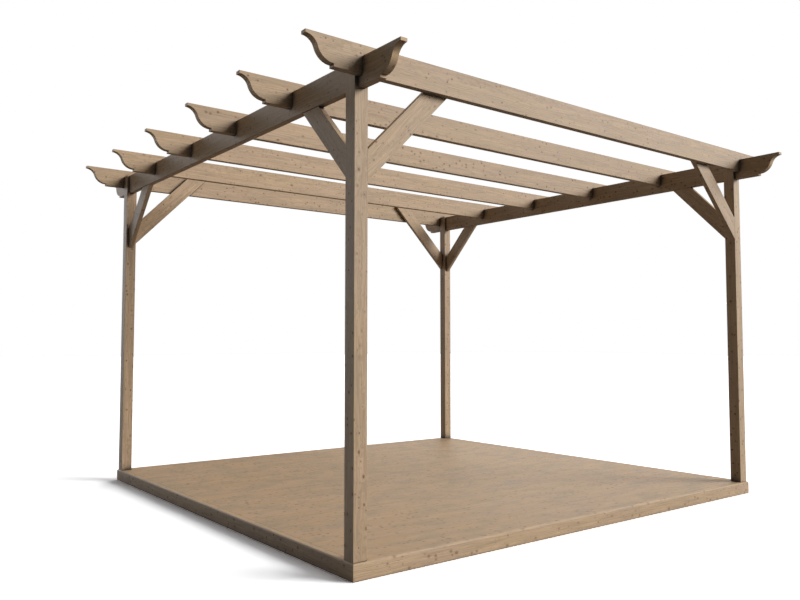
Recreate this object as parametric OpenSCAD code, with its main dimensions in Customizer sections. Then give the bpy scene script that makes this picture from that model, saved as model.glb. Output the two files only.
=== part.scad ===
// Timber pergola on a low deck: four slotted posts, two beams, six cross-lapped rafters with ogee ends
// and eight knee braces. Millimetres, +Z up, origin at the middle of the deck's underside.
// X runs along the rafters, Y along the beams, and the front is -Y.

/* [Deck] */

// Width of the deck along the rafters
deck_w = 3610; // [2400:10:4800]
// Depth of the deck along the beams
deck_d = 3492; // [2400:2:4800]
// Height of the deck's walking surface above the ground
deck_h = 86; // [60:1:160]
// Thickness of the fascia boards round the deck
fascia_t = 41; // [20:1:60]
// Radius of the fascia's rounded top edge
fascia_r = 10; // [2:1:16]
// Thickness of the deck boards
board_t = 28; // [18:1:40]
// Number of deck boards
board_n = 24; // [12:1:36]
// Open joint between deck boards, and between them and the fascia
board_gap = 1; // [0.5:0.5:8]
// Width of a joist under the boards
joist_t = 45; // [30:1:75]
// Number of joists
joist_n = 8; // [4:1:12]

/* [Posts] */

// Side of a square post
post = 80; // [70:1:150]
// Distance of the posts' outer faces from the deck's left and right edges
post_edge_x = 8; // [0:1:200]
// Distance of the posts' outer faces from the deck's front and back edges
post_edge_y = 13; // [0:1:200]

/* [Beams and rafters] */

// Thickness of a beam or rafter
timber_t = 41; // [30:1:70]
// Depth of a beam or rafter
timber_h = 147; // [140:1:220]
// Height of the beams' undersides above the ground
beam_z = 2391; // [2000:1:3000]
// Height of the rafters' undersides above the beams' undersides
rafter_lift = 55; // [10:1:100]
// Reach of a rafter's tip past the middle of the post
rafter_over = 345; // [200:1:500]
// Reach of a beam's tip past the middle of the post
beam_over = 384; // [260:1:600]

/* [Ogee ends] */

// Height of the square nose at the tip
nose_h = 17; // [5:1:30]
// Radius of the hollow under the nose
cove_r = 70; // [40:1:90]
// Radius of the swell below the hollow
swell_r = 95; // [60:1:110]
// Angle through which the hollow and the swell each turn
ogee_turn = 72; // [50:1:75]

/* [Braces] */

// Thickness of a brace
brace_t = 33; // [20:1:60]
// Width of a brace, square to its length
brace_w = 116; // [80:1:160]
// Drop from the beam's underside to the foot of a brace
brace_drop = 463; // [300:1:700]
// How much higher the back rafter braces stand on their posts
back_brace_lift = 30; // [0:1:80]

/* [Fits] */

// Clearance on each side of a beam in its post slot
slot_gap = 0.5; // [0.2:0.1:3]
// Clearance on each side of a cross lap
lap_gap = 0.5; // [0.2:0.1:3]

/* [Hidden] */

$fn = 96;
wood = [0.66, 0.56, 0.45];
past = 10;

frame_w = deck_w - 2 * fascia_t;
frame_d = deck_d - 2 * fascia_t;
board_w = (frame_d - (board_n + 1) * board_gap) / board_n;
joist_step = (frame_w - joist_t) / (joist_n - 1);

post_x = deck_w / 2 - post_edge_x - post / 2;
post_y = deck_d / 2 - post_edge_y - post / 2;
beam_top = beam_z + timber_h;
rafter_z = beam_z + rafter_lift;

rafter_len = 2 * (post_x + rafter_over);
beam_len = 2 * (post_y + beam_over);

// The end rafters stand against the outer faces of the posts, and the inner ones divide the roof's depth.
bay_n = 5;
end_y = post_y + post / 2 + timber_t / 2;
roof_d = 2 * end_y + timber_t;
rafter_ys = [-end_y, for (i = [1:bay_n - 1]) (i / bay_n - 0.5) * roof_d, end_y];
lap_h = (timber_h - rafter_lift) / 2;

// Hollow and swell are two arcs that meet on one tangent.
turn_dir = [sin(ogee_turn), cos(ogee_turn)];
cove_c = [0, -nose_h - cove_r];
ogee_join = cove_c + cove_r * turn_dir;
swell_c = ogee_join + swell_r * turn_dir;
ogee_foot = swell_c - [0, swell_r];
brace_cut = brace_w * sqrt(2);

// Cross-section of a fascia board: x in from its outer face, y up from the ground
module fascia_section() {
    square([fascia_t, deck_h - fascia_r]);
    translate([fascia_r, 0])
        square([fascia_t - fascia_r, deck_h]);
    translate([fascia_r, deck_h - fascia_r])
        circle(fascia_r);
}

// Fascia board mitred at both ends, its outer face on the line y = -depth / 2
module fascia(length, depth) {
    color(wood)
        intersection() {
            linear_extrude(deck_h)
                polygon([
                    [-length / 2, -depth / 2],
                    [length / 2, -depth / 2],
                    [length / 2 - fascia_t, -depth / 2 + fascia_t],
                    [-length / 2 + fascia_t, -depth / 2 + fascia_t]
                ]);
            translate([0, -depth / 2, 0])
                rotate([90, 0, 90])
                    linear_extrude(length, center = true)
                        fascia_section();
        }
}

// Joists along Y, the outer two against the left and right fascia boards
module deck_joists() {
    color(wood)
        for (i = [0:joist_n - 1])
            translate([-frame_w / 2 + i * joist_step, -frame_d / 2, 0])
                cube([joist_t, frame_d, deck_h - board_t]);
}

// Deck boards along X, flush with the top of the fascia
module deck_boards() {
    color(wood)
        for (i = [0:board_n - 1])
            translate([
                -frame_w / 2 + board_gap,
                -frame_d / 2 + board_gap + i * (board_w + board_gap),
                deck_h - board_t
            ])
                cube([frame_w - 2 * board_gap, board_w, board_t]);
}

// Post with a slot through its top, front to back, that takes the beam between two cheeks
module slotted_post(x, y) {
    slot_w = timber_t + 2 * slot_gap;
    color(wood)
        translate([x, y, 0])
            difference() {
                translate([-post / 2, -post / 2, deck_h])
                    cube([post, post, beam_top - deck_h]);
                translate([-slot_w / 2, -post / 2 - past, beam_z])
                    cube([slot_w, post + 2 * past, timber_h + past]);
            }
}

// Waste sawn off one timber end: x from the tip, y down from the top edge
module ogee_waste() {
    difference() {
        union() {
            polygon([
                [-past, -nose_h],
                [0, -nose_h],
                ogee_join,
                ogee_foot,
                [ogee_foot.x, -timber_h - past],
                [-past, -timber_h - past]
            ]);
            translate(cove_c)
                circle(cove_r);
        }
        translate(swell_c)
            circle(swell_r);
    }
}

// Side view of a timber with ogee ends: its top edge on y = 0 and its middle on x = 0
module ogee_timber(length) {
    difference() {
        translate([-length / 2, -timber_h])
            square([length, timber_h]);
        translate([-length / 2, 0])
            ogee_waste();
        translate([length / 2, 0])
            mirror([1, 0])
                ogee_waste();
    }
}

// Notches for the other half of each cross lap, from y = low to y = high
module lap_notches(places, low, high) {
    notch_w = timber_t + 2 * lap_gap;
    for (u = places)
        translate([u - notch_w / 2, low])
            square([notch_w, high - low]);
}

// Beam along Y, notched from above for every rafter
module beam(x) {
    color(wood)
        translate([x, 0, beam_top])
            rotate([90, 0, 90])
                linear_extrude(timber_t, center = true)
                    difference() {
                        ogee_timber(beam_len);
                        lap_notches(rafter_ys, -lap_h, past);
                    }
}

// Rafter along X, notched from below for both beams
module rafter(y) {
    color(wood)
        translate([0, y, rafter_z + timber_h])
            rotate([90, 0, 0])
                linear_extrude(timber_t, center = true)
                    difference() {
                        ogee_timber(rafter_len);
                        lap_notches([-post_x, post_x], -timber_h - past, lap_h - timber_h);
                    }
}

// Side view of a brace at 45 degrees: x from the post's face, y from the beam's underside.
// Its foot is cut plumb against the post and its head is cut level at y = head.
module brace_side(head) {
    polygon([
        [0, -brace_drop],
        [0, brace_cut - brace_drop],
        [brace_drop - brace_cut + head, head],
        [brace_drop + head, head]
    ]);
}

// Brace from a post to its beam, in line with both; side is -1 for left, end is -1 for front
module beam_brace(side, end) {
    color(wood)
        translate([side * post_x, end * (post_y - post / 2), beam_z])
            rotate([90, 0, -end * 90])
                linear_extrude(brace_t, center = true)
                    brace_side(0);
}

// Brace from a post to its end rafter: it laps up the rafter's inner face to its top edge
// and lies flush with the post's outer face
module rafter_brace(side, end) {
    lift = end > 0 ? back_brace_lift : 0;
    color(wood)
        translate([side * (post_x - post / 2), end * (post_y + post / 2 - brace_t / 2), beam_z + lift])
            mirror([side > 0 ? 1 : 0, 0, 0])
                rotate([90, 0, 0])
                    linear_extrude(brace_t, center = true)
                        brace_side(rafter_lift + timber_h - lift);
}

fascia(deck_w, deck_d);  // front_fascia
rotate(180) fascia(deck_w, deck_d);  // back_fascia
rotate(-90) fascia(deck_d, deck_w);  // left_fascia
rotate(90) fascia(deck_d, deck_w);  // right_fascia
deck_joists();
deck_boards();
slotted_post(-post_x, -post_y);  // front_left_post
slotted_post(post_x, -post_y);  // front_right_post
slotted_post(-post_x, post_y);  // back_left_post
slotted_post(post_x, post_y);  // back_right_post
beam(-post_x);  // left_beam
beam(post_x);  // right_beam
rafter(rafter_ys[0]);  // front_rafter
rafter(rafter_ys[1]);  // second_rafter
rafter(rafter_ys[2]);  // third_rafter
rafter(rafter_ys[3]);  // fourth_rafter
rafter(rafter_ys[4]);  // fifth_rafter
rafter(rafter_ys[5]);  // back_rafter
beam_brace(-1, -1);  // front_left_beam_brace
beam_brace(1, -1);  // front_right_beam_brace
beam_brace(-1, 1);  // back_left_beam_brace
beam_brace(1, 1);  // back_right_beam_brace
rafter_brace(-1, -1);  // front_left_rafter_brace
rafter_brace(1, -1);  // front_right_rafter_brace
rafter_brace(-1, 1);  // back_left_rafter_brace
rafter_brace(1, 1);  // back_right_rafter_brace
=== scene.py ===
"""Looks of a timber pergola on a low deck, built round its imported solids.

Metres, +Z up. X runs along the rafters, Y along the beams, and the front is -Y.
"""

import logging
import math
from dataclasses import dataclass, field
from enum import Enum
from typing import Any, Iterable

import bpy
import numpy as np
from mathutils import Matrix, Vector


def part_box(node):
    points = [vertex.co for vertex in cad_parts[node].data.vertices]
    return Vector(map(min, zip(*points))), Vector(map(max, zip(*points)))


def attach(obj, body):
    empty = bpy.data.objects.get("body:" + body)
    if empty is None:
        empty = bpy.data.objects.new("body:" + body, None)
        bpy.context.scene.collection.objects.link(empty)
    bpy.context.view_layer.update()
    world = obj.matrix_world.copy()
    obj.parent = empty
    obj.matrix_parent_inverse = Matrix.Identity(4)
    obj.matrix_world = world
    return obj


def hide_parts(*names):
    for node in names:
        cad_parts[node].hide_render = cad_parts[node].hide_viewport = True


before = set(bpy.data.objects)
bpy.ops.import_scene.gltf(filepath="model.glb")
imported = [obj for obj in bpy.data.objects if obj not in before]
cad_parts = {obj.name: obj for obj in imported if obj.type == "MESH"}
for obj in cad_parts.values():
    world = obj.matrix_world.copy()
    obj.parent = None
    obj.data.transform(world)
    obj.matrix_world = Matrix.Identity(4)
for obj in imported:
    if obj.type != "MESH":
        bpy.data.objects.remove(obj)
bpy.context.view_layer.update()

logging.basicConfig(level=logging.INFO, format="%(message)s")
log = logging.getLogger("pergola")

Array = np.ndarray
Colour = tuple[float, float, float, float]
Span = tuple[float, float]
Material = bpy.types.Material
Socket = bpy.types.NodeSocket

BODY = "root"
FRAME_SLOT = "frame_timber"
DECK_SLOT = "deck_timber"
SIDES = ("left", "right")
UPRIGHT = math.pi / 2  # turn from an outline's first axis to its second

# Ease of an edge that is cut to fit against another piece
SAWN = 0.0003
# Ease of the long arrises of the frame's timbers
EASED = 0.0016
# Ease along a sawn and sanded end
SHAPED = 0.0013
# Ease of the long arrises of a deck board
BOARD_EASE = 0.001
# Squared sine of a turn, under which the edges before and after it count as one
NEARLY_STRAIGHT = 1e-3
# Sine of twice the angle round an arris above which a point counts as worn
ARRIS_MIDDLE = 0.5
# Edges that turn by more than this stay sharp
SHARP_TURN = math.radians(35)
# A slab's faces end with its near cap and its far cap
NEAR_CAP = -2


class Plane(Enum):
    """Plane of a piece's outline: its two axes, and the axis of the piece's thickness."""

    FRONT = ((1, 0, 0), (0, 0, 1), (0, -1, 0))
    SIDE = ((0, 1, 0), (0, 0, 1), (1, 0, 0))
    TOP = ((1, 0, 0), (0, 1, 0), (0, 0, 1))

    @property
    def axes(self) -> Array:
        """The three axes as the rows of a matrix."""
        return np.array(self.value, float)


@dataclass
class Outline:
    """Closed outline, anticlockwise, with the ease of the edge that leaves each corner."""

    points: Array
    ease: Array

    @classmethod
    def of_runs(cls, *runs: tuple[Any, float]) -> "Outline":
        """Joins runs of corners into one outline.

        Args:
            runs: corners, and the ease of the edges that leave them.

        Returns:
            The outline, turned round if the runs went clockwise.
        """
        lists = [np.atleast_2d(np.asarray(corners, float)) for corners, _ in runs]
        points = np.concatenate(lists)
        ease = np.concatenate([np.full(len(part), width) for part, (_, width) in zip(lists, runs)])
        after = np.roll(points, -1, axis=0)
        if np.sum(points[:, 0] * after[:, 1] - after[:, 0] * points[:, 1]) < 0:
            points, ease = points[::-1], np.roll(ease[::-1], -1)
        return cls(points, ease)

    def outward(self) -> Array:
        """Unit normal of each edge, out of the outline."""
        along = np.roll(self.points, -1, axis=0) - self.points
        along /= np.linalg.norm(along, axis=1, keepdims=True)
        return np.stack([along[:, 1], -along[:, 0]], axis=1)

    def insets(self) -> Array:
        """Inward step of each corner that moves every edge in by its own ease.

        A corner moves to where its two shifted edges cross. With inward unit normals m and n of the
        edges before and after it, and eases a and b, the step is
        ((a - b c) m + (b - a c) n) / (1 - c^2) with c = m . n, and the mean step where c is near 1.

        Returns:
            One step for each corner, in the outline's plane.
        """
        after, ease_after = -self.outward(), self.ease[:, None]
        before, ease_before = np.roll(after, 1, axis=0), np.roll(ease_after, 1, axis=0)
        cosine = np.sum(before * after, axis=1, keepdims=True)
        turn = 1 - cosine * cosine
        bends = turn > NEARLY_STRAIGHT
        by_before = (ease_before - ease_after * cosine) * before
        by_after = (ease_after - ease_before * cosine) * after
        crossing = (by_before + by_after) / np.where(bends, turn, 1.0)
        mean = (before + after) * (ease_before + ease_after) / 4
        return np.where(bends, crossing, mean)


@dataclass
class Surface:
    """Closed surface of a slab, and what its finish reads from it.

    Each point has its place on a rounded arris. Each face has its share of end grain, and how far it
    looks down (negative: up).
    """

    points: Array
    faces: list[list[int]]
    arris: Array
    end_grain: Array
    underside: Array


@dataclass
class Slab:
    """Sawn piece: an outline with a thickness, whose arrises are rounded.

    The rounding is a quarter ellipse that is carried round the outline on both faces. The other face
    keeps only the share foot of it.
    """

    outline: Outline
    plane: Plane
    middle: float
    thickness: float
    grain: float = 0.0
    round_depth: float = EASED
    foot: float = 1.0
    steps: int = 3

    def surface(self) -> Surface:
        """Works out the closed surface.

        At angle t the edge stands in by ease (1 - sin t) and lies below the face by
        depth (1 - cos t), for t from 0 to a right angle; the other face mirrors it, scaled by foot.

        Returns:
            The surface, with its walls ring by ring and then the near cap and the far cap.
        """
        angle = np.linspace(0.0, math.pi / 2, self.steps + 1)
        share, sink, half = 1 - np.sin(angle), self.round_depth * (1 - np.cos(angle)), self.thickness / 2
        share = np.concatenate([share, self.foot * share[::-1]])
        depth = np.concatenate([half - sink, self.foot * sink[::-1] - half])
        flat = self.outline.points[None] + share[:, None, None] * self.outline.insets()[None]
        rings, count = flat.shape[:2]
        uvw = np.concatenate([flat, np.broadcast_to(depth[:, None, None], (rings, count, 1))], axis=2)
        points = uvw.reshape(-1, 3) @ self.plane.axes + self.middle * np.abs(self.plane.axes[2])

        here = np.arange(rings * count).reshape(rings, count)
        beside = np.roll(here, -1, axis=1)
        walls = np.stack([here[1:], beside[1:], beside[:-1], here[:-1]], axis=2).reshape(-1, 4)
        faces = walls.tolist() + [here[0].tolist(), here[-1][::-1].tolist()]

        ease = np.maximum(self.outline.ease, np.roll(self.outline.ease, 1))
        on_arris = np.sin(2 * np.tile(angle, 2)) > ARRIS_MIDDLE
        arris = on_arris[:, None] * np.clip(ease / EASED, 0, 1)[None]

        outward, up = self.outline.outward(), self.plane.axes[:, 2]
        with_grain = outward @ np.array([math.cos(self.grain), math.sin(self.grain)])
        end_grain = np.concatenate([np.tile(with_grain ** 2, rings - 1), [0.0, 0.0]])
        underside = np.concatenate([np.tile(-outward @ up[:2], rings - 1), [-up[2], up[2]]])
        return Surface(points, faces, arris.reshape(-1), end_grain, underside)


@dataclass
class Carpenter:
    """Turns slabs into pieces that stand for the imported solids, each slab cut from a log of its own."""

    seed: int = 11
    pith_depth: Span = (0.055, 0.095)
    pith_lean: float = 0.05
    log_length: float = 40.0

    def __post_init__(self) -> None:
        """Starts the draws of logs and stain."""
        self.draw = np.random.default_rng(self.seed)

    def grain_space(self, slab: Slab, points: Array) -> Array:
        """Places a slab in its own log.

        Args:
            slab: the slab.
            points: its corners.

        Returns:
            For each corner its way along the grain, and its way from the pith across and through the slab.
        """
        local = points @ slab.plane.axes.T
        centre = (local.min(axis=0) + local.max(axis=0)) / 2
        first, second, through = (local - centre).T
        cosine, sine = math.cos(slab.grain), math.sin(slab.grain)
        pith = self.draw.uniform(*self.pith_depth)
        side = self.draw.choice([-1.0, 1.0])
        lean = self.draw.uniform(-self.pith_lean, self.pith_lean)
        start = self.draw.uniform(0.0, self.log_length)
        along = first * cosine + second * sine + start
        across = second * cosine - first * sine + lean
        return np.stack([along, across, pith + side * through], axis=1)

    def mesh(self, name: str, slabs: Iterable[Slab], spread: float) -> bpy.types.Mesh:
        """Builds the mesh of slabs that don't touch, with the attributes that the finishes read.

        Args:
            name: the mesh's name.
            slabs: what it is made of.
            spread: how far the stain's depth varies from slab to slab.

        Returns:
            The mesh, without a material.
        """
        surfaces, grains, tones = [], [], []
        for slab in slabs:
            surface = slab.surface()
            surfaces.append(surface)
            grains.append(self.grain_space(slab, surface.points))
            tones.append(np.full(len(surface.points), 1 + spread * self.draw.uniform(-1.0, 1.0)))
        firsts = np.cumsum([0] + [len(each.points) for each in surfaces]).tolist()
        faces = [
            [corner + first for corner in ring]
            for each, first in zip(surfaces, firsts)
            for ring in each.faces
        ]

        mesh = bpy.data.meshes.new(name)
        mesh.from_pydata(np.concatenate([each.points for each in surfaces]), [], faces)
        for label, kind, domain, key, values in (
            ("grain", "FLOAT_VECTOR", "POINT", "vector", grains),
            ("arris", "FLOAT", "POINT", "value", [each.arris for each in surfaces]),
            ("tone", "FLOAT", "POINT", "value", tones),
            ("end_grain", "FLOAT", "FACE", "value", [each.end_grain for each in surfaces]),
            ("underside", "FLOAT", "FACE", "value", [each.underside for each in surfaces]),
        ):
            attribute = mesh.attributes.new(label, kind, domain)
            flat = np.ascontiguousarray(np.concatenate(values), np.float32).ravel()
            attribute.data.foreach_set(key, flat)
        mesh.polygons.foreach_set("use_smooth", np.ones(len(mesh.polygons), bool))
        mesh.set_sharp_from_angle(angle=SHARP_TURN)
        return mesh

    def make(self, node: str, slabs: Iterable[Slab], finish: Material, slot: str,
             spread: float = 0.03, top_finish: Material | None = None) -> bpy.types.Object:
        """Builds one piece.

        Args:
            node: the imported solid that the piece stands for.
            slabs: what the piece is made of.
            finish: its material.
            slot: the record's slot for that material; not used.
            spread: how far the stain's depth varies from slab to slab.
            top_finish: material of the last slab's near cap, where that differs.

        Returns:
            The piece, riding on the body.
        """
        mesh = self.mesh(f"{node}_timber", slabs, spread)
        mesh.materials.append(finish)
        if top_finish:
            mesh.materials.append(top_finish)
            mesh.polygons[NEAR_CAP].material_index = 1
        mesh.update()
        piece = bpy.data.objects.new(f"{node}_timber", mesh)
        bpy.context.scene.collection.objects.link(piece)
        weighted = piece.modifiers.new("flat faces", "WEIGHTED_NORMAL")
        weighted.keep_sharp = True
        weighted.weight = 100
        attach(piece, BODY)
        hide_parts(node)
        log.info("%s: %d faces", piece.name, len(mesh.polygons))
        return piece


@dataclass
class Ogee:
    """End of a beam or rafter: a square nose, a hollow, a swell and a square step."""

    nose: float = 0.017
    hollow_r: float = 0.070
    swell_r: float = 0.095
    turn: float = math.radians(72)
    steps: int = 20

    def profile(self, height: float) -> Array:
        """Corners from the tip's top down to the step.

        The hollow is an arc round a point below the nose, c + r (sin t, cos t). The swell goes on
        from the same tangent, d - s (sin t, cos t), with t running back to 0.

        Args:
            height: depth of the timber.

        Returns:
            Distances in from the tip and down (negative) from the top edge.
        """
        angle = np.linspace(0.0, self.turn, self.steps + 1)
        arc = np.stack([np.sin(angle), np.cos(angle)], axis=1)
        hollow = np.array([0.0, -self.nose - self.hollow_r]) + self.hollow_r * arc
        swell = hollow[-1] + self.swell_r * (arc[-1] - arc[::-1])
        step = [[swell[-1][0], -height]]
        return np.concatenate([[[0.0, 0.0]], hollow, swell[1:], step])


@dataclass
class Frame:
    """Posts, beams, rafters and braces."""

    carpenter: Carpenter
    finish: Material
    brace_finish: Material
    ogee: Ogee = field(default_factory=Ogee)
    slot_gap: float = 0.0005
    lap_gap: float = 0.0005
    brace_width: float = 0.116
    corners: tuple[str, ...] = ("front_left", "front_right", "back_left", "back_right")
    rafters: tuple[str, ...] = ("front", "second", "third", "fourth", "fifth", "back")

    def build(self) -> None:
        """Builds every timber of the frame."""
        for corner in self.corners:
            self.timber(f"{corner}_post", self.post(corner))
        for side in SIDES:
            self.timber(f"{side}_beam", self.beam(side))
        for order in self.rafters:
            self.timber(f"{order}_rafter", self.rafter(order))
        for corner in self.corners:
            for carries in ("beam", "rafter"):
                brace = self.brace(corner, carries)
                self.carpenter.make(f"{corner}_{carries}_brace", [brace], self.brace_finish, FRAME_SLOT)

    def timber(self, node: str, slab: Slab) -> None:
        """Makes one post, beam or rafter."""
        self.carpenter.make(node, [slab], self.finish, FRAME_SLOT)

    def post(self, corner: str) -> Slab:
        """Post whose top is slotted, front to back, for the beam between two cheeks.

        Args:
            corner: which post.

        Returns:
            The post, seen from the front.
        """
        low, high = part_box(f"{corner}_post")
        beam_low, beam_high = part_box(f"{corner.split('_')[1]}_beam")
        left, right = beam_low.x - self.slot_gap, beam_high.x + self.slot_gap
        outline = Outline.of_runs(
            ([[low.x, low.z]], SAWN),
            ([[high.x, low.z]], EASED),
            ([[high.x, high.z]], SHAPED),
            ([[right, high.z], [right, beam_low.z], [left, beam_low.z]], SAWN),
            ([[left, high.z]], SHAPED),
            ([[low.x, high.z]], EASED),
        )
        return Slab(outline, Plane.FRONT, (low.y + high.y) / 2, high.y - low.y, grain=UPRIGHT)

    def shaped(self, start: float, stop: float, top: float, height: float,
               above: Iterable[tuple] = (), below: Iterable[tuple] = ()) -> Outline:
        """Outline of a timber with ogee ends and notches.

        Args:
            start: where its first tip is.
            stop: where its other tip is.
            top: level of its top edge.
            height: its depth.
            above: left edge, right edge and floor of each notch in the top, from stop back to start.
            below: the same for the notches in the bottom, from start to stop.

        Returns:
            The outline, with its notches sawn sharp.
        """
        end = self.ogee.profile(height)
        first = np.stack([start + end[:, 0], top + end[:, 1]], axis=1)
        last = np.stack([stop - end[:, 0], top + end[:, 1]], axis=1)[::-1]
        bottom = top - height
        runs = [(first[:-1], SHAPED), (first[-1:], EASED)]
        for left, right, floor in below:
            runs.append(([[left, bottom], [left, floor], [right, floor]], SAWN))
            runs.append(([[right, bottom]], EASED))
        runs += [(last[:-1], SHAPED), (last[-1:], EASED)]
        for left, right, floor in above:
            runs.append(([[right, top], [right, floor], [left, floor]], SAWN))
            runs.append(([[left, top]], EASED))
        return Outline.of_runs(*runs)

    def lap_floor(self) -> float:
        """Level at which beams and rafters meet, half way up what they share."""
        return (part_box("front_rafter")[0].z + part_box("left_beam")[1].z) / 2

    def beam(self, side: str) -> Slab:
        """Beam along Y, notched from above for every rafter."""
        low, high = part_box(f"{side}_beam")
        boxes = [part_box(f"{order}_rafter") for order in reversed(self.rafters)]
        notches = [(a.y - self.lap_gap, b.y + self.lap_gap, self.lap_floor()) for a, b in boxes]
        outline = self.shaped(low.y, high.y, high.z, high.z - low.z, above=notches)
        return Slab(outline, Plane.SIDE, (low.x + high.x) / 2, high.x - low.x)

    def rafter(self, order: str) -> Slab:
        """Rafter along X, notched from below for both beams."""
        low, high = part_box(f"{order}_rafter")
        boxes = [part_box(f"{side}_beam") for side in SIDES]
        notches = [(a.x - self.lap_gap, b.x + self.lap_gap, self.lap_floor()) for a, b in boxes]
        outline = self.shaped(low.x, high.x, high.z, high.z - low.z, below=notches)
        return Slab(outline, Plane.FRONT, (low.y + high.y) / 2, high.y - low.y)

    def brace(self, corner: str, carries: str) -> Slab:
        """Brace at 45 degrees, its foot cut plumb against the post and its head cut level.

        Args:
            corner: which post it stands on.
            carries: beam or rafter.

        Returns:
            The brace, seen from the side where it shows its slope.
        """
        low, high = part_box(f"{corner}_{carries}_brace")
        end, side = corner.split("_")
        if carries == "beam":
            plane, near, far = Plane.SIDE, low.y, high.y
            middle, thickness, turned = (low.x + high.x) / 2, high.x - low.x, end == "back"
        else:
            plane, near, far = Plane.FRONT, low.x, high.x
            middle, thickness, turned = (low.y + high.y) / 2, high.y - low.y, side == "right"
        foot, head = (far, near) if turned else (near, far)
        cut = self.brace_width * math.sqrt(2)
        back = head + cut if turned else head - cut
        outline = Outline.of_runs(
            ([[foot, low.z]], SHAPED),
            ([[foot, low.z + cut]], EASED),
            ([[back, high.z]], SHAPED),
            ([[head, high.z]], EASED),
        )
        slope = math.radians(135) if turned else math.radians(45)
        return Slab(outline, plane, middle, thickness, grain=slope)


@dataclass
class Deck:
    """Fascia, boards and joists of the low deck."""

    carpenter: Carpenter
    finish: Material
    fascia_finish: Material
    board_count: int = 24
    board_gap: float = 0.001
    joist_count: int = 8
    joist_width: float = 0.045
    nosing: float = 0.010
    nosing_steps: int = 8
    spread: float = 0.008

    def build(self) -> None:
        """Builds the deck's pieces."""
        for side in ("front", "back", "left", "right"):
            self.carpenter.make(f"{side}_fascia", [self.fascia(side)], self.fascia_finish, DECK_SLOT,
                                top_finish=self.finish)
        self.carpenter.make("deck_boards", self.boards(), self.finish, DECK_SLOT, self.spread)
        self.carpenter.make("deck_joists", self.joists(), self.finish, DECK_SLOT)

    def fascia(self, side: str) -> Slab:
        """Fascia board, mitred at both ends, with a rounded top edge.

        Args:
            side: which side of the deck it closes.

        Returns:
            The board, seen from above.
        """
        low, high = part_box(f"{side}_fascia")
        if side in SIDES:
            thick, grain = high.x - low.x, UPRIGHT
            outer, inner = (low.x, high.x) if side == "left" else (high.x, low.x)
            corners = [[outer, low.y], [outer, high.y], [inner, high.y - thick], [inner, low.y + thick]]
        else:
            thick, grain = high.y - low.y, 0.0
            outer, inner = (low.y, high.y) if side == "front" else (high.y, low.y)
            corners = [[low.x, outer], [high.x, outer], [high.x - thick, inner], [low.x + thick, inner]]
        outline = Outline.of_runs((corners[:1], self.nosing), (corners[1:], SAWN))
        return Slab(outline, Plane.TOP, (low.z + high.z) / 2, high.z - low.z, grain=grain,
                    round_depth=self.nosing, foot=EASED / self.nosing, steps=self.nosing_steps)

    def boards(self) -> list[Slab]:
        """Boards along X, evenly spaced between the fascia boards."""
        low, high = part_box("deck_boards")
        width = (high.y - low.y + self.board_gap) / self.board_count - self.board_gap
        slabs = []
        for start in low.y + np.arange(self.board_count) * (width + self.board_gap):
            corners = ((low.x, start), (high.x, start), (high.x, start + width), (low.x, start + width))
            slabs.append(self.plank(corners, low.z, high.z, BOARD_EASE, grain=0.0))
        return slabs

    def joists(self) -> list[Slab]:
        """Joists along Y, evenly spaced between the side fascia boards."""
        low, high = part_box("deck_joists")
        slabs = []
        for start in np.linspace(low.x, high.x - self.joist_width, self.joist_count):
            stop = start + self.joist_width
            corners = ((stop, low.y), (stop, high.y), (start, high.y), (start, low.y))
            slabs.append(self.plank(corners, low.z, high.z, EASED, grain=UPRIGHT))
        return slabs

    @staticmethod
    def plank(corners: tuple[Span, ...], bottom: float, top: float, ease: float, grain: float) -> Slab:
        """Straight board.

        Args:
            corners: its four corners, seen from above, with a long edge from the first to the second.
            bottom: level of its underside.
            top: level of its top.
            ease: ease of its long arrises.
            grain: angle of its grain from X.

        Returns:
            The board, seen from above.
        """
        outline = Outline.of_runs(*zip(corners, (ease, SAWN, ease, SAWN)))
        return Slab(outline, Plane.TOP, (bottom + top) / 2, top - bottom, grain=grain, round_depth=ease)


@dataclass(frozen=True)
class SoftNoise:
    """Soft noise: how often it changes in a metre along its first axis and across it, and its detail."""

    along: float
    across: float
    detail: float = 2.0
    roughness: float = 0.5

    @property
    def scale(self) -> tuple[float, float, float]:
        """Scale on the three axes."""
        return self.along, self.across, self.across


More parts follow.
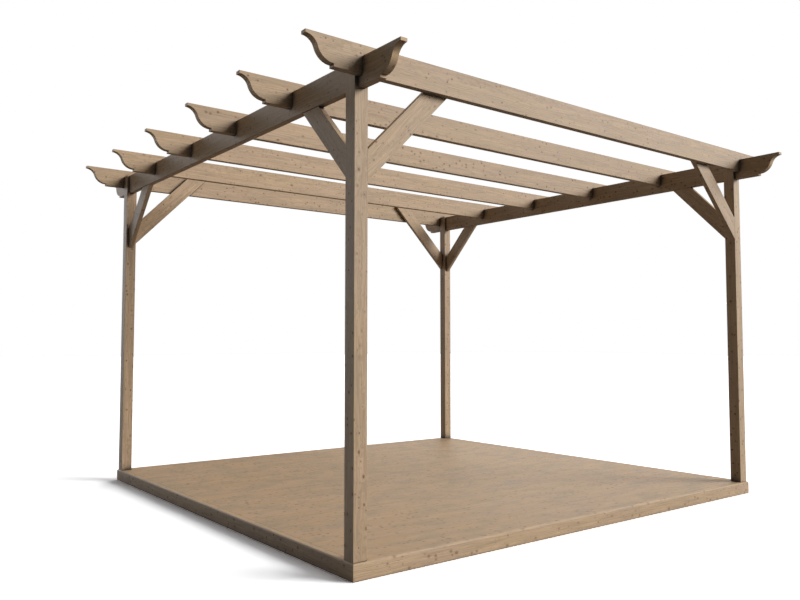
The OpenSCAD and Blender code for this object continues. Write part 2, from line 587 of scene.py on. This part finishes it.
class Net:
    """A node tree that is wired by plain calls."""

    def __init__(self, tree: bpy.types.NodeTree) -> None:
        """Takes over an empty tree."""
        self.tree = tree

    @classmethod
    def of(cls, owner: Any) -> "Net":
        """Starts an empty tree for a material or a world."""
        owner.use_nodes = True
        owner.node_tree.nodes.clear()
        return cls(owner.node_tree)

    def node(self, kind: str, inputs: dict[Any, Any] | None = None, **settings: Any) -> bpy.types.Node:
        """Adds a node.

        Args:
            kind: the node's type name.
            inputs: a socket or a plain value for each named or numbered input.
            settings: the node's own properties.

        Returns:
            The node.
        """
        made = self.tree.nodes.new(kind)
        for key, value in settings.items():
            setattr(made, key, value)
        for key, value in (inputs or {}).items():
            if isinstance(value, Socket):
                self.tree.links.new(value, made.inputs[key])
            else:
                made.inputs[key].default_value = value
        return made

    def math(self, operation: str, a: Any, b: Any = 0.0, clamp: bool = False) -> Socket:
        """One sum on two values."""
        return self.node("ShaderNodeMath", {0: a, 1: b}, operation=operation, use_clamp=clamp).outputs[0]

    def times(self, a: Any, b: Any) -> Socket:
        """Product of two values."""
        return self.math("MULTIPLY", a, b)

    def plus(self, a: Any, b: Any, clamp: bool = False) -> Socket:
        """Sum of two values."""
        return self.math("ADD", a, b, clamp)

    def swing(self, noise: Any, width: Any) -> Socket:
        """A noise round a half as a swing of the given width round zero."""
        return self.times(self.math("SUBTRACT", noise, 0.5), width)

    def ramp(self, value: Any, edge: Span, low: float = 0.0, high: float = 1.0) -> Socket:
        """Smooth step from low, where an edge starts, to high, where it stops."""
        made = self.node("ShaderNodeMapRange", interpolation_type="SMOOTHSTEP", inputs={
            "Value": value, "From Min": edge[0], "From Max": edge[1], "To Min": low, "To Max": high})
        return made.outputs["Result"]

    def fade(self, value: Any, edge: Span) -> Socket:
        """Smooth step from 1 down to 0."""
        return self.ramp(value, edge, 1.0, 0.0)

    def stretched(self, vector: Any, scale: tuple[float, float, float]) -> Socket:
        """A vector scaled by different amounts on its axes."""
        return self.node("ShaderNodeMapping", {"Vector": vector, "Scale": scale}).outputs["Vector"]

    def noise(self, vector: Any, soft: SoftNoise) -> Socket:
        """Soft noise round a half."""
        made = self.node("ShaderNodeTexNoise", {
            "Vector": self.stretched(vector, soft.scale), "Scale": 1.0,
            "Detail": soft.detail, "Roughness": soft.roughness})
        return made.outputs[0]

    def mix(self, factor: Any, a: Any, b: Any, blend: str = "MIX") -> Socket:
        """Mixes two colours."""
        made = self.node("ShaderNodeMix", {0: factor, 6: a, 7: b}, data_type="RGBA", blend_type=blend)
        return made.outputs[2]

    def attribute(self, name: str) -> Any:
        """Outputs of one of a piece's own attributes."""
        return self.node("ShaderNodeAttribute", attribute_type="GEOMETRY", attribute_name=name).outputs

    def put_out(self, outputs: Any, sockets: dict[str, Socket]) -> None:
        """Links what a group has worked out to its outputs."""
        for label, socket in sockets.items():
            self.tree.links.new(socket, outputs[label])


@dataclass(frozen=True)
class KnotSize:
    """One size of knot.

    It has so many cells in a metre, a largest radius and a share of cells that stay empty. Then come how
    far rings bend round it, the strength of its halo, and the least and most that it darkens the wood.
    """

    per_metre: float
    radius: float
    empty: float
    swirl: float
    halo: float
    depth: Span


@dataclass
class Groups:
    """Shader node groups that the finishes share, each built once."""

    # Knots: their sizes, their ragged shape, and edges in radii from the middle
    knot_sizes: tuple[KnotSize, ...] = (
        KnotSize(per_metre=30.0, radius=0.0084, empty=0.35, swirl=0.004, halo=0.30, depth=(0.5, 1.0)),
        KnotSize(per_metre=9.0, radius=0.0105, empty=0.7, swirl=0.010, halo=0.35, depth=(0.7, 0.7)),
    )
    knot_stretch: tuple[float, float, float] = (0.8, 1.0, 1.0)
    knot_smallest: float = 0.55
    ragged_scale: float = 95.0
    ragged_shift: tuple[float, float, float] = (0.004, 0.004, 0.004)
    knot_edge: Span = (0.75, 1.05)
    halo_edge: Span = (0.9, 2.2)
    swirl_edge: Span = (0.6, 3.5)

    # Rings: how they stray from round, in metres, and the rise and fall of late wood through a ring
    wander: SoftNoise = SoftNoise(0.9, 9.0)
    wander_width: float = 0.05
    jitter: SoftNoise = SoftNoise(4.0, 60.0)
    jitter_width: float = 0.004
    late_rise: Span = (0.35, 0.93)
    late_fall: Span = (0.94, 1.0)

    # Fibres, tone, hue, grey patches and short checks
    fibre: SoftNoise = SoftNoise(7.0, 380.0, 3.0, 0.6)
    tone: SoftNoise = SoftNoise(1.6, 22.0, 3.0, 0.6)
    hue: SoftNoise = SoftNoise(1.3, 7.0)
    hue_edge: Span = (0.3, 0.7)
    yellower: Colour = (1.01, 1.0, 0.95, 1.0)
    pinker: Colour = (1.0, 0.99, 1.01, 1.0)
    patch: SoftNoise = SoftNoise(5.0, 8.0, 4.0, 0.65)
    patch_edge: Span = (0.42, 0.66)
    greyed: Colour = (0.80, 0.87, 0.95, 1.0)
    check_scale: tuple[float, float, float] = (30.0, 170.0, 170.0)
    check_edge: Span = (0.10, 0.34)
    check_rarity: Span = (0.72, 0.92)
    check_depth: float = 0.7

    # Age: lighter sawn ends and worn arrises; then painted shade that darkens faces that look down
    sawn_end: Colour = (1.16, 1.11, 1.0, 1.0)
    worn_edge: Span = (0.35, 0.7)
    worn_share: Span = (0.1, 0.4)
    painted_underside_shade: Colour = (0.68, 0.66, 0.64, 1.0)
    level_power: float = 4.0

    # Roughness and relief
    fibre_roughness: float = 0.25
    underside_roughness: float = 0.4
    fibre_height: float = 0.5
    late_height: float = 0.35
    knot_height: float = 0.4

    def __post_init__(self) -> None:
        """Builds the groups."""
        self.knots = self.build_knots()
        self.rings = self.build_rings()
        self.stain = self.build_stain()

    @staticmethod
    def start(name: str, inputs: dict[str, str], outputs: dict[str, str]) -> tuple[Net, Any, Any]:
        """Starts a group.

        Args:
            name: the group's name.
            inputs: names of the input sockets of each kind, with commas between them.
            outputs: the same for its output sockets.

        Returns:
            The group's net, its input sockets and its output node's sockets.
        """
        tree = bpy.data.node_groups.new(name, "ShaderNodeTree")
        for way, sockets in (("INPUT", inputs), ("OUTPUT", outputs)):
            for kind, labels in sockets.items():
                for label in labels.split(", "):
                    tree.interface.new_socket(name=label, in_out=way, socket_type=f"NodeSocket{kind}")
        net = Net(tree)
        return net, net.node("NodeGroupInput").outputs, net.node("NodeGroupOutput").inputs

    def build_knots(self) -> bpy.types.NodeTree:
        """Knots scattered through the log.

        The log is cut into cells that hold one egg-shaped knot each or none. A face that meets a
        knot shows it as a round or oval spot.
        """
        net, given, made = self.start(
            "knots",
            {"Vector": "Grain", "Float": "Per Metre, Size, Empty"},
            {"Float": "Knot, Halo, Swirl, Dark"},
        )
        ragged = net.node("ShaderNodeTexNoise", {
            "Vector": given["Grain"], "Scale": self.ragged_scale, "Detail": 1.0})
        shift = net.node("ShaderNodeVectorMath", operation="MULTIPLY_ADD", inputs={
            0: ragged.outputs["Color"], 1: self.ragged_shift,
            2: net.stretched(given["Grain"], self.knot_stretch)})
        cells = net.node("ShaderNodeTexVoronoi", {"Vector": shift.outputs[0], "Scale": given["Per Metre"]})
        draw = net.node("ShaderNodeSeparateColor", {0: cells.outputs["Color"]}).outputs
        there = net.math("GREATER_THAN", draw[0], given["Empty"])
        radius = net.times(given["Size"], net.ramp(draw[2], (0.0, 1.0), self.knot_smallest))
        metres = net.math("DIVIDE", cells.outputs["Distance"], given["Per Metre"])
        away = net.math("DIVIDE", metres, radius)
        net.put_out(made, {
            "Knot": net.times(there, net.fade(away, self.knot_edge)),
            "Halo": net.times(there, net.fade(away, self.halo_edge)),
            "Swirl": net.times(there, net.fade(away, self.swirl_edge)),
            "Dark": draw[1],
        })
        return net.tree

    def build_rings(self) -> bpy.types.NodeTree:
        """Growth rings round the pith, fibres, short dark checks and slow changes of tone."""
        net, given, made = self.start(
            "growth_rings",
            {"Vector": "Grain", "Float": "Spacing, Swirl"},
            {"Float": "Late Wood, Fibre, Tone, Hue, Check"},
        )
        grain = given["Grain"]
        axes = net.node("ShaderNodeSeparateXYZ", {0: grain}).outputs
        around = net.node("ShaderNodeCombineXYZ", {1: axes[1], 2: axes[2]}).outputs[0]
        pith = net.node("ShaderNodeVectorMath", {0: around}, operation="LENGTH").outputs["Value"]
        wander = net.swing(net.noise(grain, self.wander), self.wander_width)
        jitter = net.swing(net.noise(grain, self.jitter), self.jitter_width)
        radius = net.plus(net.plus(pith, wander), net.plus(jitter, given["Swirl"]))
        ring = net.math("FRACT", net.math("DIVIDE", radius, given["Spacing"]))
        streaks = net.node("ShaderNodeTexVoronoi", {
            "Vector": net.stretched(grain, self.check_scale), "Scale": 1.0}).outputs
        pick = net.node("ShaderNodeSeparateColor", {0: streaks["Color"]}).outputs[0]
        thin = net.fade(streaks["Distance"], self.check_edge)
        net.put_out(made, {
            "Late Wood": net.times(net.ramp(ring, self.late_rise), net.fade(ring, self.late_fall)),
            "Fibre": net.noise(grain, self.fibre),
            "Tone": net.noise(grain, self.tone),
            "Hue": net.noise(grain, self.hue),
            "Check": net.times(thin, net.ramp(pick, self.check_rarity)),
        })
        return net.tree

    def build_stain(self) -> bpy.types.NodeTree:
        """Stained softwood as colour, roughness and height; the colour carries painted shade on faces that
        look down.
        """
        net, given, made = self.start(
            "stained_softwood",
            {
                "Vector": "Grain, Place",
                "Color": "Early Wood, Late Wood, Knot, Check, Worn",
                "Float": "Arris, Piece Tone, End Grain, Underside, Spacing, Figure, Mottle, "
                         "Strand, Cloud, Roughness, Weather",
            },
            {"Color": "Color", "Float": "Roughness, Height"},
        )
        pins, large = (self.place_knots(net, given["Grain"], size) for size in self.knot_sizes)
        wood = net.node("ShaderNodeGroup", node_tree=self.rings, inputs={
            "Grain": given["Grain"], "Spacing": given["Spacing"],
            "Swirl": net.plus(pins["Swirl"], large["Swirl"])}).outputs
        knot = net.math("MAXIMUM", pins["Knot"], large["Knot"])
        below, above = (self.level(net, given["Underside"], way) for way in (1.0, -1.0))

        colour = self.clear_wood(net, given, wood)
        colour = net.mix(net.math("MAXIMUM", pins["Halo"], large["Halo"]), colour, given["Late Wood"])
        colour = net.mix(knot, colour, given["Knot"])
        colour = net.mix(given["End Grain"], colour, self.sawn_end, "MULTIPLY")
        worn = net.times(given["Arris"], net.ramp(wood["Tone"], self.worn_edge, *self.worn_share))
        colour = net.mix(worn, colour, given["Worn"])
        # Painted shade: faces that look down are darkened
        colour = net.mix(below, colour, self.painted_underside_shade, "MULTIPLY")

        rough = net.plus(given["Roughness"], net.swing(wood["Fibre"], self.fibre_roughness))
        rough = net.plus(rough, net.times(below, self.underside_roughness))
        rough = net.plus(rough, net.times(above, given["Weather"]), clamp=True)
        height = net.plus(net.times(wood["Fibre"], self.fibre_height),
                          net.times(wood["Late Wood"], self.late_height))
        height = net.plus(height, net.times(knot, self.knot_height))
        height = net.math("SUBTRACT", height, wood["Check"])
        net.put_out(made, {"Color": colour, "Roughness": rough, "Height": height})
        return net.tree

    def place_knots(self, net: Net, grain: Socket, size: KnotSize) -> dict[str, Socket]:
        """Places the knot group for one size of knot.

        Args:
            net: the group's net.
            grain: a point's place in its log.
            size: the size of knot.

        Returns:
            How far rings bend, the halo and the knot, each with the size's own strength.
        """
        knots = net.node("ShaderNodeGroup", node_tree=self.knots, inputs={
            "Grain": grain, "Per Metre": size.per_metre, "Size": size.radius, "Empty": size.empty}).outputs
        least, most = size.depth
        depth = net.plus(least, net.times(knots["Dark"], most - least))
        return {
            "Swirl": net.times(knots["Swirl"], size.swirl),
            "Halo": net.times(knots["Halo"], size.halo),
            "Knot": net.times(knots["Knot"], depth),
        }

    def level(self, net: Net, underside: Socket, way: float) -> Socket:
        """1 on faces that look straight down, or with way -1 straight up, and soon 0 on steeper ones."""
        looks = net.math("MAXIMUM", net.times(underside, way), 0.0)
        return net.math("POWER", looks, self.level_power)

    def clear_wood(self, net: Net, given: Any, wood: Any) -> Socket:
        """Colour of the wood without its knots.

        Args:
            net: the stain group's net.
            given: the stain group's inputs.
            wood: outputs of the ring group.

        Returns:
            Rings in two colours, shaded by fibres and tone, with grey patches and dark checks.
        """
        figure = net.times(wood["Late Wood"], given["Figure"])
        colour = net.mix(figure, given["Early Wood"], given["Late Wood"])
        mottle = net.swing(wood["Tone"], given["Mottle"])
        strands = net.swing(wood["Fibre"], given["Strand"])
        depth = net.times(given["Piece Tone"], net.plus(1.0, net.plus(mottle, strands)))
        shaded = net.node("ShaderNodeVectorMath", {0: colour, "Scale": depth}, operation="SCALE")
        hue = net.mix(net.ramp(wood["Hue"], self.hue_edge), self.yellower, self.pinker)
        colour = net.mix(1.0, shaded.outputs[0], hue, "MULTIPLY")
        patch = net.ramp(net.noise(given["Place"], self.patch), self.patch_edge)
        colour = net.mix(net.times(patch, given["Cloud"]), colour, self.greyed, "MULTIPLY")
        return net.mix(net.times(wood["Check"], self.check_depth), colour, given["Check"])


@dataclass(frozen=True)
class TimberFinish:
    """Stained softwood in one shade. Colours are linear.

    Rings stand spacing apart. figure, mottle, strand and cloud are the strengths of rings, slow tone,
    fibres and grey patches, and weather is what faces that look up add to the roughness. Painted shade
    darkens the colour in corners and between parts, where the share of open sky within its reach falls
    through its edge.
    """

    name: str
    early: Colour = (0.417, 0.293, 0.182, 1.0)
    late: Colour = (0.283, 0.192, 0.114, 1.0)
    knot: Colour = (0.150, 0.074, 0.028, 1.0)
    check: Colour = (0.095, 0.060, 0.038, 1.0)
    worn: Colour = (0.50, 0.38, 0.26, 1.0)
    spacing: float = 0.0065
    figure: float = 0.5
    mottle: float = 0.65
    strand: float = 1.4
    cloud: float = 0.15
    roughness: float = 0.58
    weather: float = 0.4
    relief: float = 0.0004
    relief_strength: float = 0.5
    specular: float = 0.30
    # Painted shade in corners and between parts: its colour, reach, edge and ray samples
    painted_shade: Colour = (0.03, 0.024, 0.018, 1.0)
    painted_shade_reach: float = 0.16
    painted_shade_edge: Span = (0.48, 0.8)
    painted_shade_samples: int = 8

    def material(self, groups: Groups) -> Material:
        """Builds the material.

        Args:
            groups: the shared node groups.

        Returns:
            A material that reads the piece's own grain, arris, tone, end grain and undersides.
        """
        made = bpy.data.materials.new(self.name)
        net = Net.of(made)
        stain = net.node("ShaderNodeGroup", node_tree=groups.stain, inputs={
            "Grain": net.attribute("grain")["Vector"],
            "Place": net.node("ShaderNodeTexCoord").outputs["Object"],
            "Arris": net.attribute("arris")["Fac"],
            "Piece Tone": net.attribute("tone")["Fac"],
            "End Grain": net.attribute("end_grain")["Fac"],
            "Underside": net.attribute("underside")["Fac"],
            "Early Wood": self.early, "Late Wood": self.late, "Knot": self.knot,
            "Check": self.check, "Worn": self.worn, "Spacing": self.spacing,
            "Figure": self.figure, "Mottle": self.mottle, "Strand": self.strand, "Cloud": self.cloud,
            "Roughness": self.roughness, "Weather": self.weather,
        }).outputs
        bump = net.node("ShaderNodeBump", {
            "Height": stain["Height"], "Strength": self.relief_strength, "Distance": self.relief})
        # Painted shade: an ambient occlusion reading darkens the colour in corners and between parts
        open_sky = net.node("ShaderNodeAmbientOcclusion", {"Distance": self.painted_shade_reach},
                            samples=self.painted_shade_samples).outputs["AO"]
        colour = net.mix(net.fade(open_sky, self.painted_shade_edge), stain["Color"], self.painted_shade, "MULTIPLY")
        shader = net.node("ShaderNodeBsdfPrincipled", {
            "Base Color": colour, "Roughness": stain["Roughness"],
            "Specular IOR Level": self.specular, "Normal": bump.outputs[0]})
        net.node("ShaderNodeOutputMaterial", {"Surface": shader.outputs[0]})
        return made


TIMBER = TimberFinish("stained_frame")
BRACE = TimberFinish("stained_brace", painted_shade_reach=0.02)
FASCIA = TimberFinish(
    "stained_fascia",
    early=(0.445, 0.312, 0.194, 1.0),
    worn=(0.45, 0.318, 0.200, 1.0),
    weather=0.0,
    painted_shade_reach=0.015,
)
DECK = TimberFinish(
    "stained_deck",
    early=(0.450, 0.308, 0.186, 1.0),
    worn=(0.44, 0.305, 0.187, 1.0),
    knot=(0.22, 0.138, 0.075, 1.0),
    check=(0.20, 0.135, 0.085, 1.0),
    figure=0.14,
    mottle=0.3,
    strand=0.15,
    cloud=0.8,
    roughness=0.66,
    weather=0.0,
    specular=0.03,
    painted_shade_reach=0.05,
)


@dataclass(frozen=True)
class Lamp:
    """Soft lamp, far away: where it stands round the object, how wide it looks, and its light."""

    name: str
    azimuth: float
    elevation: float
    power: float
    width: float = 32.0
    colour: tuple[float, float, float] = (1.0, 1.0, 1.0)
    distance: float = 9.0

    def build(self) -> None:
        """Places the lamp. Azimuth turns from +X to +Y; angles are in degrees."""
        light = bpy.data.lights.new(self.name, "SUN")
        light.angle = math.radians(self.width)
        light.energy = self.power
        light.color = self.colour
        turn, up = math.radians(self.azimuth), math.radians(self.elevation)
        flat = math.cos(up)
        toward = Vector((flat * math.cos(turn), flat * math.sin(turn), math.sin(up)))
        lamp = bpy.data.objects.new(self.name, light)
        lamp.location = toward * self.distance
        lamp.rotation_mode = "QUATERNION"
        lamp.rotation_quaternion = (-toward).to_track_quat("-Z", "Y")
        bpy.context.scene.collection.objects.link(lamp)


@dataclass
class Studio:
    """Camera, floor and soft light. The camera's angles are in radians; the floor's shades are linear."""

    camera_at: tuple[float, float, float] = (-3.8963, -4.8271, 1.1309)
    camera_pitch: float = 0.0559
    camera_yaw: float = -0.6557
    camera_reach: float = 500.0
    focal_px: float = 772.4
    picture_px: int = 800
    sensor: float = 36.0
    floor_half: float = 60.0
    floor_seen: float = 1.70
    floor_bounce: float = 0.15
    lamps: tuple[Lamp, ...] = (
        Lamp("key", azimuth=-45, elevation=22, power=4.1),
        Lamp("right_fill", azimuth=38, elevation=12, power=1.6),
        Lamp("back_rim", azimuth=95, elevation=12, power=1.2, colour=(0.94, 0.98, 1.06)),
        Lamp("overhead", azimuth=30, elevation=55, power=0.5, width=50.0),
    )

    def build(self) -> None:
        """Builds the studio."""
        bpy.context.scene.view_settings.view_transform = "Standard"
        self.build_camera()
        self.build_floor()
        self.build_backdrop()
        for lamp in self.lamps:
            lamp.build()

    def build_camera(self) -> None:
        """Camera at the picture's place and angle."""
        lens = bpy.data.cameras.new("camera")
        lens.sensor_fit = "HORIZONTAL"
        lens.sensor_width = self.sensor
        lens.lens = self.sensor * self.focal_px / self.picture_px
        lens.clip_end = self.camera_reach
        camera = bpy.data.objects.new("camera", lens)
        camera.location = self.camera_at
        camera.rotation_euler = (math.pi / 2 + self.camera_pitch, 0.0, self.camera_yaw)
        bpy.context.scene.collection.objects.link(camera)
        bpy.context.scene.camera = camera

    @staticmethod
    def seen(net: Net) -> Socket:
        """1 for rays that show the background: from the camera, a gloss or a glass."""
        path = net.node("ShaderNodeLightPath").outputs
        both = net.math("MAXIMUM", path["Is Camera Ray"], path["Is Glossy Ray"])
        return net.math("MAXIMUM", both, path["Is Transmission Ray"])

    def build_floor(self) -> None:
        """Pale floor that keeps the shadow, goes white where it is lit and throws little light back."""
        half = self.floor_half
        corners = [(-half, -half, 0), (half, -half, 0), (half, half, 0), (-half, half, 0)]
        mesh = bpy.data.meshes.new("floor")
        mesh.from_pydata(corners, [], [(0, 1, 2, 3)])
        floor = bpy.data.objects.new("floor", mesh)
        bpy.context.scene.collection.objects.link(floor)
        paint = bpy.data.materials.new("pale_floor")
        net = Net.of(paint)
        bounced, shown = (
            net.node("ShaderNodeBsdfDiffuse", {"Color": (shade, shade, shade, 1.0)}).outputs[0]
            for shade in (self.floor_bounce, self.floor_seen)
        )
        mixed = net.node("ShaderNodeMixShader", {0: self.seen(net), 1: bounced, 2: shown})
        net.node("ShaderNodeOutputMaterial", {"Surface": mixed.outputs[0]})
        mesh.materials.append(paint)

    def build_backdrop(self) -> None:
        """World that is white where it is seen and gives no other light."""
        world = bpy.data.worlds.new("studio")
        net = Net.of(world)
        white = net.node("ShaderNodeBackground", {
            "Color": (1.0, 1.0, 1.0, 1.0), "Strength": self.seen(net)})
        net.node("ShaderNodeOutputWorld", {"Surface": white.outputs[0]})
        bpy.context.scene.world = world


def main() -> None:
    """Builds the studio, the finishes and every piece."""
    Studio().build()
    groups = Groups()
    carpenter = Carpenter()
    Frame(carpenter, TIMBER.material(groups), BRACE.material(groups)).build()
    Deck(carpenter, DECK.material(groups), FASCIA.material(groups)).build()


if __name__ == "__main__":
    main()
